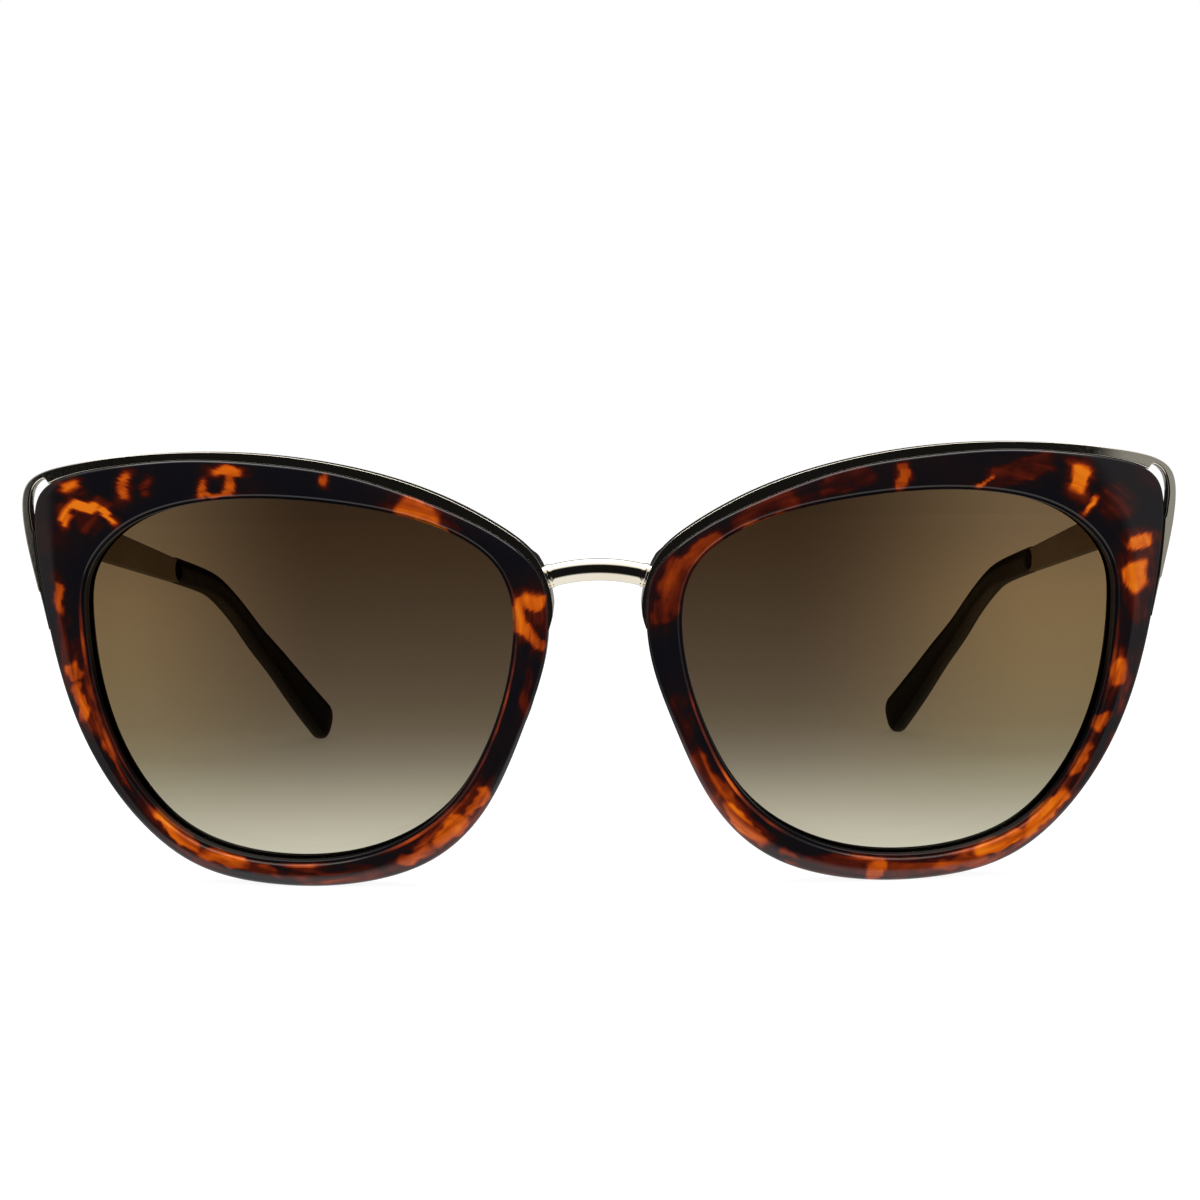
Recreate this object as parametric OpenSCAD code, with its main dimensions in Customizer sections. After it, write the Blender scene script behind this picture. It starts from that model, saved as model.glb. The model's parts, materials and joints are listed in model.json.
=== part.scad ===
// Cat eye sunglasses, open, standing on the lower edges of the rims and on the two temple tips.
// X runs to the wearer's left, Y back along the temples, Z up, in millimetres. The origin is under
// the middle of the whole object, on the surface that it stands on.
// The front is cut from a large hollow sphere and leaned forward a little at the top. Its outlines
// are smooth curves drawn for the left half, and the right half is their mirror image.

/* [Front] */
// Radius of the curve across the face
face_r = 300; // [240:10:400]
// Lean of the front, top forward, in degrees
face_tilt = 3; // [0:0.5:5]
// Thickness of the plastic rims, front to back
rim_t = 4.8; // [4.6:0.1:5.4]

/* [Lenses] */
// Radius of the lens curve
lens_r = 130; // [125:5:170]
// Thickness of each lens
lens_t = 1.5; // [1.2:0.1:1.6]
// Depth of the middle of the lens behind the front of the rim
lens_set_back = 0.8; // [0.6:0.1:1]
// How far the edge of the lens reaches into its groove
lens_grip = 0.9; // [0.6:0.1:1]

/* [Metal trim] */
// Depth of the band along the brow, front to back
brow_band_d = 2.9; // [2:0.1:3.5]
// Depth of the band round the outer corner, where it stands clear of the rim
corner_band_d = 1.6; // [1.2:0.1:1.8]
// Thickness of the lugs behind the rim
lug_t = 1.25; // [1:0.05:1.6]

/* [Bridge] */
// Height of the bridge bar
bridge_h = 2.7; // [2.4:0.1:3.2]
// Depth of the bridge bar, front to back
bridge_d = 2.2; // [1.8:0.1:2.4]
// Radius that the bar arches on
bridge_r = 22; // [18:1:40]

/* [Hinges] */
// Outer diameter of the hinge knuckles
knuckle_d = 2.4; // [2.2:0.1:2.6]
// Diameter of the hinge screw
pin_d = 1.2; // [1:0.1:1.3]
// Height of the three knuckles together
hinge_h = 4.4; // [4:0.1:4.8]

/* [Temples] */
// Thickness of the metal temple
temple_t = 1.4; // [1.2:0.1:1.6]
// Height of the temple at its hinge
temple_h = 5; // [4.8:0.1:5.4]
// Height of the temple where its plastic tip starts
temple_end_h = 3.6; // [3.2:0.1:3.8]
// Inward lean of the temples from the hinge back, in degrees
splay = 2.7; // [0:0.1:4]

/* [Hidden] */

$fn = 64;
gap = 0.1;             // air between parts that move or slip into each other
face_z = 30;           // height of the middle of the face curve
deep = 60;             // more than the depth of the front

gold = "#c9bd9c";
tortoise = "#4a2413";
dark_tip = "#2a1a14";
smoke = [0.33, 0.26, 0.19, 0.7];

// ---- outlines of the left half: [x, z] points that the curves run through ----
rim_points = [[6.1, 36.6], [8.2, 40.9], [13.2, 44.6], [20.5, 48], [30, 51.2], [40, 52.8], [50, 53.4],
    [59, 52.8], [66, 51.6], [70.2, 48.9], [70.7, 43.2], [69.8, 35.5], [67.6, 24.5], [62.3, 12.6],
    [53, 3.1], [42, 0], [31.5, 0.2], [21.5, 3.2], [14, 10.3], [9.2, 20.4], [6.4, 29]];
opening_points = [[10, 34], [11.4, 39.4], [15.2, 43.2], [22, 46.2], [32, 48.2], [43, 48.9], [53, 47.7],
    [60, 44.5], [64, 39.6], [64.8, 33.5], [63.8, 24.5], [60.6, 15.2], [55, 7.8], [48, 4], [39.5, 2.7],
    [30.5, 3.6], [22.5, 7], [16.5, 12.8], [12.6, 20.5], [10.6, 27.4]];
trim_points = [[5.9, 32.4], [5.4, 35.6], [6.8, 40.3], [10.4, 44.1], [18, 48.4], [27, 51.6], [36.5, 53.5],
    [46, 54.3], [56, 54.1], [65.5, 53], [70.9, 51.3], [72.4, 48.2], [72, 43.5], [70.9, 38.4], [69.5, 32.2]];
trim_back = [[60, 30], [20, 30]];   // closes the trim outline inside the rim
slot_points = [[69, 50.9], [70.2, 50.8], [71.1, 49.5], [71.35, 47.6], [71.15, 45.8], [70.75, 44.4],
    [69.8, 45.2], [69.3, 48]];

// ---- smooth curves ----
// Uniform cubic B-splines. settle() moves the control points until the curve runs through p.
steps = 5;             // short straight pieces between two points of an outline
function at(p, i, closed) = closed ? p[(i + len(p)) % len(p)]
    : i < 0 ? 2 * p[0] - p[1]
    : i >= len(p) ? 2 * p[len(p) - 1] - p[len(p) - 2] : p[i];
function settle(p, q, closed, turns) = turns == 0 ? q : settle(p, [for (i = [0 : len(p) - 1])
    q[i] + p[i] - (at(q, i - 1, closed) + 4 * q[i] + at(q, i + 1, closed)) / 6], closed, turns - 1);
function blend(a, b, c, d, t) = (pow(1 - t, 3) * a + (3 * pow(t, 3) - 6 * t * t + 4) * b
    + (-3 * pow(t, 3) + 3 * t * t + 3 * t + 1) * c + pow(t, 3) * d) / 6;
function spline(q, n, closed) = [for (i = [0 : len(q) - (closed ? 1 : 2)], k = [0 : n - 1])
    blend(at(q, i - 1, closed), q[i], at(q, i + 1, closed), at(q, i + 2, closed), k / n)];
function loop_through(p) = spline(settle(p, p, true, 6), steps, true);
function line_through(p, n) = concat(spline(settle(p, p, false, 6), n, false), [p[len(p) - 1]]);
// The outlines run clockwise, so the outside is on the left of the direction of travel.
function outward(p, i) = let (t = at(p, i + 1, true) - at(p, i - 1, true)) [-t[1], t[0]] / norm(t);
function grow(p, d) = [for (i = [0 : len(p) - 1]) p[i] + d * outward(p, i)];

lip = 0.3;             // step between the front edge of the opening and the wall behind it
rim_curve = loop_through(rim_points);
opening_curve = loop_through(opening_points);
wall_curve = grow(opening_curve, -lip);
lens_curve = grow(wall_curve, lens_grip);
trim_curve = concat(line_through(trim_points, steps), trim_back);
slot_curve = loop_through(slot_points);

// ---- the face curve ----
function sag(x, z, r) = r - sqrt(r * r - x * x - pow(z - face_z, 2));
function world_y(p) = sag(p[0], p[1], face_r) * cos(face_tilt) - p[1] * sin(face_tilt);
function world_z(p) = sag(p[0], p[1], face_r) * sin(face_tilt) + p[1] * cos(face_tilt);
front_y = min([for (p = rim_curve) world_y(p)]);
front_low = min([for (p = rim_curve) world_z(p)]);
lens_middle = [37.5, 27];
function face_point(p) = [p[0], sag(p[0], p[1], face_r), p[1]];
lens_front = face_point(lens_middle);
lens_centre = lens_front + ([0, face_r, face_z] - lens_front) / face_r * (lens_set_back + lens_r);

// ---- the temples ----
axis = [67.2, 16.4];   // hinge axis behind the front, seen from above
hinge_z = 44.7;        // middle height of the hinge
bar_in = 1.5;          // inner face of the temple, outward of the hinge axis
bar_mid = bar_in + temple_t / 2;
core_t = 1;            // core of the temple inside its tip
core_h = 2;
// Centre line of a temple tip, from the end of the bare metal to the middle of the round end
tip_points = [[67.3, 61.7, 37.9], [66.6, 77, 35.5], [66.1, 87, 33], [65.4, 99, 28.2], [64.5, 109, 23.1],
    [63, 118.6, 17.9], [60.9, 129.5, 11.1], [58.2, 140, 4]];
tip_half_w = [1.3, 1.5, 1.6, 1.6, 1.65, 1.7, 1.8, 1.8];
tip_half_h = [2, 1.95, 1.9, 2, 2.3, 2.7, 3.3, 3.8];
core_points = [for (i = [0 : 2]) tip_points[i]];
tip_sides = 12;
tip_steps = 3;         // rings between two points of the centre line
cap_rings = 4;         // rings of the round end

tip_line = line_through([for (i = [0 : len(tip_points) - 1])
    concat(tip_points[i], tip_half_w[i], tip_half_h[i])], tip_steps);
function xyz(p) = [p[0], p[1], p[2]];
function unit(v) = v / norm(v);
function power(v) = sign(v) * pow(abs(v), 0.75);
function tip_ring(c, t, a, b) = let (side = unit(cross(t, [0, 0, 1])), up = cross(side, t))
    [for (k = [0 : tip_sides - 1]) let (w = 360 * (k + 0.5) / tip_sides)
        c + a * power(cos(w)) * side + b * power(sin(w)) * up];
// The first ring stands upright, square to the end of the bare metal.
function tangent(i) = i == 0 ? [-sin(splay), cos(splay), 0]
    : unit(xyz(at(tip_line, i + 1, false)) - xyz(at(tip_line, i - 1, false)));
last = len(tip_line) - 1;
tip_rings = concat([for (i = [0 : last]) tip_ring(xyz(tip_line[i]), tangent(i), tip_line[i][3], tip_line[i][4])],
    [for (k = [1 : cap_rings]) let (w = 88 * k / cap_rings, e = tip_line[last])
        tip_ring(xyz(e) + e[4] * sin(w) * tangent(last), tangent(last), e[3] * cos(w), e[4] * cos(w))]);
tip_low = min([for (r = tip_rings, p = r) p[2]]);
tip_back = max([for (r = tip_rings, p = r) p[1]]);
middle_y = (front_y + tip_back) / 2;

// ---- helpers ----
module paint(c) color(c) translate([0, -middle_y, 0]) children();
module on_front() translate([0, 0, -front_low]) rotate([face_tilt, 0, 0]) children();
module on_hinge() translate([axis[0], axis[1], hinge_z]) rotate([0, 0, splay]) children();
module straight_back() translate([0, deep, 0]) rotate([90, 0, 0]) linear_extrude(deep + 10) children();
module ball_at(c, r) translate(c) sphere(r, $fn = 360);
module face_ball(w) ball_at([0, face_r, face_z], face_r - w);
// What of the outline lies from depth w0 to depth w1 behind the front of the rims
module layer(w0, w1) difference() {
    intersection() {
        straight_back() children();
        face_ball(w0);
    }
    face_ball(w1);
}
// The lens curve, thicker by extra on both sides
module lens_layer(extra) difference() {
    intersection() {
        straight_back() children();
        ball_at(lens_centre, lens_r + extra);
    }
    ball_at(lens_centre, lens_r - lens_t - extra);
}
module box(low, high) translate(low) cube(high - low);

// ---- front ----
corner_lug = [[64.8, 37], [76, 49.2]];
nose_lug = [[0, 34.8], [10.4, 41.6]];
leg_top = 43.4;        // the corner lug meets the band below this height
band_front = 0.3;      // the band starts this far behind the front of the rim
screw_spots = [[68.2, 48.1], [67.6, 38.2], [8.5, 38.2]];
screw_head_d = 1.6;
screw_head_h = 0.45;
screw_d = 1;
screw_l = 3;           // length of the screw inside the rim

// Puts its children on the face curve at [x, z], pointing back along its radius
module at_spot(p) {
    up = asin((p[1] - face_z) / face_r);
    turn = asin(p[0] / face_r / cos(up));
    translate([0, face_r, face_z]) rotate([0, 0, turn]) rotate([-up, 0, 0])
        translate([0, -face_r, 0]) rotate([-90, 0, 0]) children();
}
module screw_holes(d) for (p = screw_spots) at_spot(p)
    translate([0, 0, rim_t - screw_l]) cylinder(d = d, h = screw_l + lug_t + 1);

module rect(c) translate(c[0]) square(c[1] - c[0]);
module trim_area() difference() {
    polygon(trim_curve);
    polygon(slot_curve);
}
module band_area() difference() {
    trim_area();
    polygon(rim_curve);
}

module trim() on_front() difference() {
    union() {
        layer(band_front, band_front + corner_band_d) band_area();
        layer(band_front, band_front + brow_band_d) intersection() {
            band_area();
            rect([[0, 30], [65, 60]]);
        }
        layer(band_front, rim_t + lug_t) intersection() {
            band_area();
            union() {
                rect([corner_lug[0], [corner_lug[1][0], leg_top]]);
                rect(nose_lug);
            }
        }
        layer(rim_t, rim_t + lug_t) intersection() {
            trim_area();
            union() {
                rect(corner_lug);
                rect(nose_lug);
            }
        }
    }
    screw_holes(screw_d + gap);
}

module rim() on_front() difference() {
    layer(0, rim_t) polygon(rim_curve);
    straight_back() polygon(wall_curve);
    layer(-1, 0.9) polygon(opening_curve);
    lens_layer(gap / 2) polygon(grow(lens_curve, gap));
    screw_holes(screw_d);
}

module lens() on_front() lens_layer(0) polygon(lens_curve);

module rim_screws() on_front() for (p = screw_spots) at_spot(p) difference() {
    union() {
        translate([0, 0, rim_t - screw_l]) cylinder(d = screw_d, h = screw_l + lug_t);
        translate([0, 0, rim_t + lug_t]) cylinder(d = screw_head_d, h = screw_head_h);
    }
    translate([-1, -0.12, rim_t + lug_t + screw_head_h - 0.2]) cube([2, 0.24, 1]);
}

pad_balls = [[8.5, 5.2, 31, 1.5], [9.9, 6.2, 23.5, 1.85], [12.6, 5.2, 17, 1.5]];
module nose_pad() on_front() intersection() {
    hull() for (b = pad_balls) translate([b[0], sag(b[0], b[2], face_r) + b[1], b[2]]) sphere(b[3], $fn = 24);
    face_ball(rim_t);
}

bridge_z = 39.6;       // middle height of the bridge bar at its centre
bridge_reach = 6.4;    // half the length of the bar, into the trim on each side
module bridge_bar() {
    half = asin(bridge_reach / bridge_r);
    oval = [for (k = [0 : 23]) [bridge_h / 2 * cos(15 * k), bridge_d / 2 * sin(15 * k)]];
    on_front() translate([0, sag(0, bridge_z, face_r) + band_front + brow_band_d / 2, bridge_z - bridge_r])
        rotate([90, 0, 0]) rotate([0, 0, 90 - half]) rotate_extrude(angle = 2 * half)
            translate([bridge_r, 0]) polygon(oval);
}

// ---- hinges ----
knuckle_gap = 0.05;    // air between two knuckles
leaf_t = 0.9;
plate_y = -2.4;        // back of the end piece, where the front hinge is fixed
end_piece_spot = [67.8, 44];
knuckle_h = (hinge_h - 2 * knuckle_gap) / 3;

module end_piece() intersection() {
    on_hinge() {
        box([-1.9, -6, -temple_h / 2], [bar_in + temple_t, plate_y, temple_h / 2]);
        box([bar_in, -6, -temple_h / 2], [bar_in + temple_t, -gap / 2, temple_h / 2]);
    }
    on_front() at_spot(end_piece_spot) translate([-10, -10, rim_t + lug_t]) cube(20);
}

module knuckle(z0, z1, hole) difference() {
    union() {
        translate([0, 0, z0]) cylinder(d = knuckle_d, h = z1 - z0);
        children();
    }
    translate([0, 0, -hinge_h]) cylinder(d = hole, h = 2 * hinge_h);
}
module front_hinge() on_hinge() {
    r = knuckle_d / 2;
    box([-1.5, plate_y, -hinge_h / 2], [1.3, plate_y + leaf_t, hinge_h / 2]);
    knuckle(hinge_h / 2 - knuckle_h, hinge_h / 2, pin_d + gap / 2)
        box([-r, plate_y + leaf_t / 2, hinge_h / 2 - knuckle_h], [r, 0, hinge_h / 2]);
    knuckle(-hinge_h / 2, knuckle_h - hinge_h / 2, pin_d)
        box([-r, plate_y + leaf_t / 2, -hinge_h / 2], [r, 0, knuckle_h - hinge_h / 2]);
}
module rear_hinge() on_hinge() {
    h = knuckle_h / 2;
    knuckle(-h, h, pin_d + gap) {
        box([0, 0, -h], [bar_in, 2, h]);
        box([bar_in - leaf_t, 1.4, -1.8], [bar_in, 9, 1]);
    }
}
module hinge_screw() on_hinge() difference() {
    union() {
        translate([0, 0, -hinge_h / 2]) cylinder(d = pin_d, h = hinge_h);
        translate([0, 0, hinge_h / 2]) cylinder(d = 2, h = 0.5);
    }
    translate([-1.5, -0.15, hinge_h / 2 + 0.25]) cube([3, 0.3, 1]);
}

// ---- temples ----
// A flat bar, t thick, whose side view follows [along, up, height] points, grown all round by extra
function beside(p) = (p[1] - axis[1]) * cos(splay) - (p[0] - axis[0]) * sin(splay);
function drop(p) = p[2] - hinge_z - tip_low;
module flat_bar(line, t, extra) on_hinge() translate([bar_mid - t / 2 - extra, 0, 0])
    rotate([90, 0, 90]) linear_extrude(t + 2 * extra) polygon(concat(
        [for (p = line) [p[0], p[1] + p[2] / 2 + extra]],
        [for (i = [len(line) - 1 : -1 : 0]) [line[i][0], line[i][1] - line[i][2] / 2 - extra]]));
bar_line = [[gap / 2, 0, temple_h], [beside(tip_points[0]), drop(tip_points[0]), temple_end_h]];
core_line = [for (p = core_points) [beside(p), drop(p), core_h]];

module temple() {
    flat_bar(bar_line, temple_t, 0);
    flat_bar(core_line, core_t, 0);
}

function side_faces(r, n) = [for (i = [0 : n - 1]) let (j = (i + 1) % n)
    each [[r * n + i, r * n + j, r * n + n + j], [r * n + i, r * n + n + j, r * n + n + i]]];
module temple_tip() difference() {
    n = tip_sides;
    top = len(tip_rings) - 1;
    translate([0, 0, -tip_low]) polyhedron([for (r = tip_rings, p = r) p], concat(
        [for (r = [0 : top - 1]) each side_faces(r, n)],
        [[for (i = [n - 1 : -1 : 0]) i], [for (i = [0 : n - 1]) top * n + i]]));
    flat_bar(core_line, core_t, gap / 2);
}

// ---- nodes ----
module bridge() paint(gold) bridge_bar();
module left_trim() paint(gold) trim();
module right_trim() paint(gold) mirror([1, 0, 0]) trim();
module left_rim() paint(tortoise) rim();
module right_rim() paint(tortoise) mirror([1, 0, 0]) rim();
module left_lens() paint(smoke) lens();
module right_lens() paint(smoke) mirror([1, 0, 0]) lens();
module left_nose_pad() paint(tortoise) nose_pad();
module right_nose_pad() paint(tortoise) mirror([1, 0, 0]) nose_pad();
module left_rim_screws() paint(gold) rim_screws();
module right_rim_screws() paint(gold) mirror([1, 0, 0]) rim_screws();
module left_end_piece() paint(gold) end_piece();
module right_end_piece() paint(gold) mirror([1, 0, 0]) end_piece();
module left_front_hinge() paint(gold) front_hinge();
module right_front_hinge() paint(gold) mirror([1, 0, 0]) front_hinge();
module left_hinge_screw() paint(gold) hinge_screw();
module right_hinge_screw() paint(gold) mirror([1, 0, 0]) hinge_screw();
module left_rear_hinge() paint(gold) rear_hinge();
module right_rear_hinge() paint(gold) mirror([1, 0, 0]) rear_hinge();
module left_temple() paint(gold) temple();
module right_temple() paint(gold) mirror([1, 0, 0]) temple();
module left_temple_tip() paint(dark_tip) temple_tip();
module right_temple_tip() paint(dark_tip) mirror([1, 0, 0]) temple_tip();

bridge();
left_trim();
right_trim();
left_rim();
right_rim();
left_lens();
right_lens();
left_nose_pad();
right_nose_pad();
left_rim_screws();
right_rim_screws();
left_end_piece();
right_end_piece();
left_front_hinge();
right_front_hinge();
left_hinge_screw();
right_hinge_screw();
left_rear_hinge();
right_rear_hinge();
left_temple();
right_temple();
left_temple_tip();
right_temple_tip();
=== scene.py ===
import json
import math

import bmesh
import bpy
import numpy as np
from mathutils import Matrix, Vector


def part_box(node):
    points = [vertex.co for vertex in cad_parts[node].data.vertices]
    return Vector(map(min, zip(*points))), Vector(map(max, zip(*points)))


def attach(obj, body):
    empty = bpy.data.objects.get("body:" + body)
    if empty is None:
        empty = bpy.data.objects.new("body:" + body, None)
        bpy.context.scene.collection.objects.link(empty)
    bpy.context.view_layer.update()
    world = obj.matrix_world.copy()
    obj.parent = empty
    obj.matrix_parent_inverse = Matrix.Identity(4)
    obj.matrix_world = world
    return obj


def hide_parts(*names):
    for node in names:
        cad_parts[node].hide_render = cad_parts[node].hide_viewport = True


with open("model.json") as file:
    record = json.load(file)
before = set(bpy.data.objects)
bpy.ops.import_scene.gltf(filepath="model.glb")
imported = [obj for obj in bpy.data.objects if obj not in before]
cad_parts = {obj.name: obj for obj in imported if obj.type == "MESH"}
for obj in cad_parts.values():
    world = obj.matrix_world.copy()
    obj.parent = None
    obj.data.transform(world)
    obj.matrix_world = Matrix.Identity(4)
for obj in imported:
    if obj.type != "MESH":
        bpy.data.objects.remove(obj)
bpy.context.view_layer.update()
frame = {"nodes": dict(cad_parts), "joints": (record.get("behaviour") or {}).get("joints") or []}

# ---------------------------------------------------------------- the shared frame
# Outlines are in millimetres on the face curve: x to the side, z up, w the depth behind the
# front of the rims. place() takes them into the row frame, in metres.
MM = 0.001
FACE_R = 300.0
FACE_Z = 30.0
TILT = math.radians(3.0)
FRONT_LOW = 0.0018
RIM_T = 4.8
LUG_T = 1.25
LENS_R = 130.0
LENS_T = 1.5
SET_BACK = 0.8
LIP = 0.3
HINGE = [j for j in frame["joints"] if j["name"] == "left_temple_hinge"][0]
HINGE_DEPTH = 16.4
SHIFT_Y = HINGE["pos_m"][1] / MM - HINGE_DEPTH

RIM = [[6.1, 36.6], [8.2, 40.9], [13.2, 44.6], [20.5, 48], [30, 51.2], [40, 52.8], [50, 53.4],
       [59, 52.8], [66, 51.6], [70.2, 48.9], [70.7, 43.2], [69.8, 35.5], [67.6, 24.5],
       [62.3, 12.6], [53, 3.1], [42, 0], [31.5, 0.2], [21.5, 3.2], [14, 10.3], [9.2, 20.4],
       [6.4, 29]]
OPENING = [[10, 34], [11.4, 39.4], [15.2, 43.2], [22, 46.2], [32, 48.2], [43, 48.9], [53, 47.7],
           [60, 44.5], [64, 39.6], [64.8, 33.5], [63.8, 24.5], [60.6, 15.2], [55, 7.8], [48, 4],
           [39.5, 2.7], [30.5, 3.6], [22.5, 7], [16.5, 12.8], [12.6, 20.5], [10.6, 27.4]]
TRIM = [[5.9, 32.4], [5.4, 35.6], [6.8, 40.3], [10.4, 44.1], [18, 48.4], [27, 51.6],
        [36.5, 53.5], [46, 54.3], [56, 54.1], [65.5, 53], [70.9, 51.3], [72.4, 48.2],
        [72, 43.5], [70.9, 38.4], [69.5, 32.2]]
SLOT = [[69, 50.9], [70.2, 50.8], [71.1, 49.5], [71.35, 47.6], [71.15, 45.8], [70.75, 44.4],
        [69.8, 45.2], [69.3, 48]]
CORNER_LUG = [[64.8, 37], [64.8, 49.2], [69.1, 49.2], [69.3, 48], [69.8, 45.3], [70.8, 44.4],
              [71, 43.4], [71.9, 43.4], [71.4, 40.7], [70.8, 38.4], [70.4, 37]]
NOSE_LUG = [[5.5, 34.8], [5.5, 35.8], [6.1, 38], [7, 40.3], [8.2, 41.6], [10.4, 41.6],
            [10.4, 34.8]]


def sag(x, z, w=0.0):
    """Depth of the face curve at x, z, for a surface w behind the front of the rims."""
    return FACE_R - np.sqrt((FACE_R - w) ** 2 - x * x - (z - FACE_Z) ** 2)


def place(side, x, y, z):
    """Points beside, behind and above in the leaned front, into the row frame."""
    return np.stack([side * x,
                     y * math.cos(TILT) - z * math.sin(TILT) + SHIFT_Y,
                     z * math.cos(TILT) + y * math.sin(TILT) - FRONT_LOW], -1) * MM


LENS_MID = np.array([37.5, float(sag(37.5, 27.0)), 27.0])
LENS_C = LENS_MID + (np.array([0, FACE_R, FACE_Z]) - LENS_MID) / FACE_R * (SET_BACK + LENS_R)


def lens_y(x, z, radius):
    """Depth of a sphere about the lens centre at x, z."""
    return LENS_C[1] - np.sqrt(radius ** 2 - (x - LENS_C[0]) ** 2 - (z - LENS_C[2]) ** 2)


# ---------------------------------------------------------------- curves
def smooth_curve(points, n, closed):
    """A uniform cubic B-spline through the points, n steps between two of them."""
    p = np.array(points, float)
    q = p.copy()

    def around(a):
        if closed:
            return np.vstack([a[-1:], a, a[:2]])
        return np.vstack([2 * a[0] - a[1], a, 2 * a[-1] - a[-2]])

    for _ in range(40):
        e = around(q)
        q = q + p - (e[:len(p)] + 4 * q + e[2:len(p) + 2]) / 6
    e = around(q)
    t = (np.arange(n) / n)[:, None]
    rows = [((1 - t) ** 3 * e[i] + (3 * t ** 3 - 6 * t * t + 4) * e[i + 1]
             + (-3 * t ** 3 + 3 * t * t + 3 * t + 1) * e[i + 2] + t ** 3 * e[i + 3]) / 6
            for i in range(len(e) - 3)]
    if not closed:
        rows.append(p[-1:])
    return np.vstack(rows)


def even(curve, n, closed):
    """The same curve with n points at equal distances."""
    c = np.vstack([curve, curve[:1]]) if closed else curve
    s = np.concatenate([[0], np.cumsum(np.linalg.norm(np.diff(c, axis=0), axis=1))])
    t = np.linspace(0, s[-1], n, endpoint=not closed)
    return np.stack([np.interp(t, s, c[:, k]) for k in range(c.shape[1])], -1)


def outward(curve, closed):
    """The outlines run clockwise, so the outside is on the left of the direction of travel."""
    if closed:
        t = np.roll(curve, -1, 0) - np.roll(curve, 1, 0)
    else:
        t = np.gradient(curve, axis=0)
    t = t / np.linalg.norm(t, axis=1)[:, None]
    return np.stack([-t[:, 1], t[:, 0]], -1)


def step(a, b, v):
    """A smooth rise from 0 at a to 1 at b."""
    t = np.clip((v - a) / (b - a), 0, 1)
    return t * t * (3 - 2 * t)


# ---------------------------------------------------------------- meshes
def new_mesh(name, verts, faces, flip, sharp=None):
    """An object of smooth faces; edges that turn by more than sharp degrees stay sharp."""
    if flip:
        faces = [tuple(reversed(f)) for f in faces]
    mesh = bpy.data.meshes.new(name)
    mesh.from_pydata([tuple(v) for v in verts], [], faces)
    mesh.shade_smooth()
    if sharp is not None:
        mesh.set_sharp_from_angle(angle=math.radians(sharp))
    obj = bpy.data.objects.new(name, mesh)
    bpy.context.scene.collection.objects.link(obj)
    return obj


def skin(name, grid, ring_closed, path_closed, flip, sharp=None):
    """A skin over rings of points: grid[path, ring, 3]. Open paths are capped."""
    n, k = grid.shape[:2]
    faces = []
    for i in range(n if path_closed else n - 1):
        a, b = i * k, (i + 1) % n * k
        for j in range(k if ring_closed else k - 1):
            m = (j + 1) % k
            faces.append((a + j, a + m, b + m, b + j))
    if not path_closed:
        faces.append(tuple(reversed(range(k))))
        faces.append(tuple(range((n - 1) * k, n * k)))
    return new_mesh(name, grid.reshape(-1, 3), faces, flip, sharp)


def put(obj, body, nodes, material):
    """Give the object its material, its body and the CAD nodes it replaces."""
    obj.data.materials.clear()
    obj.data.materials.append(material)
    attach(obj, body)
    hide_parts(*nodes)
    return obj


def break_edges(bm, angle, width):
    """Round every edge that turns by more than the angle, in degrees."""
    edges = [e for e in bm.edges if e.is_manifold and e.calc_face_angle(0) > math.radians(angle)]
    bmesh.ops.bevel(bm, geom=edges, offset=width * MM, offset_type="OFFSET", segments=3,
                    profile=0.5, affect="EDGES", clamp_overlap=True)


def solid_metal(name, mesh):
    """An object from the mesh, with flat faces shaded flat between its broken edges."""
    mesh.shade_smooth()
    mesh.set_sharp_from_angle(angle=math.radians(40))
    obj = bpy.data.objects.new(name, mesh)
    bpy.context.scene.collection.objects.link(obj)
    weighted = obj.modifiers.new("even_shading", "WEIGHTED_NORMAL")
    weighted.keep_sharp = True
    return obj


def refine(node, name, body, material, width):
    """The CAD node's own solid with its edges broken, for metal that has been tumbled."""
    mesh = frame["nodes"][node].data.copy()
    mesh.name = name
    bm = bmesh.new()
    bm.from_mesh(mesh)
    bmesh.ops.remove_doubles(bm, verts=bm.verts, dist=0.002 * MM)
    bmesh.ops.dissolve_limit(bm, angle_limit=math.radians(0.5), verts=bm.verts, edges=bm.edges)
    break_edges(bm, 35, width)
    bmesh.ops.recalc_face_normals(bm, faces=bm.faces)
    bm.to_mesh(mesh)
    bm.free()
    custom = mesh.attributes.get("custom_normal")
    if custom is not None:
        mesh.attributes.remove(custom)
    return put(solid_metal(name, mesh), body, [node], material)


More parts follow.
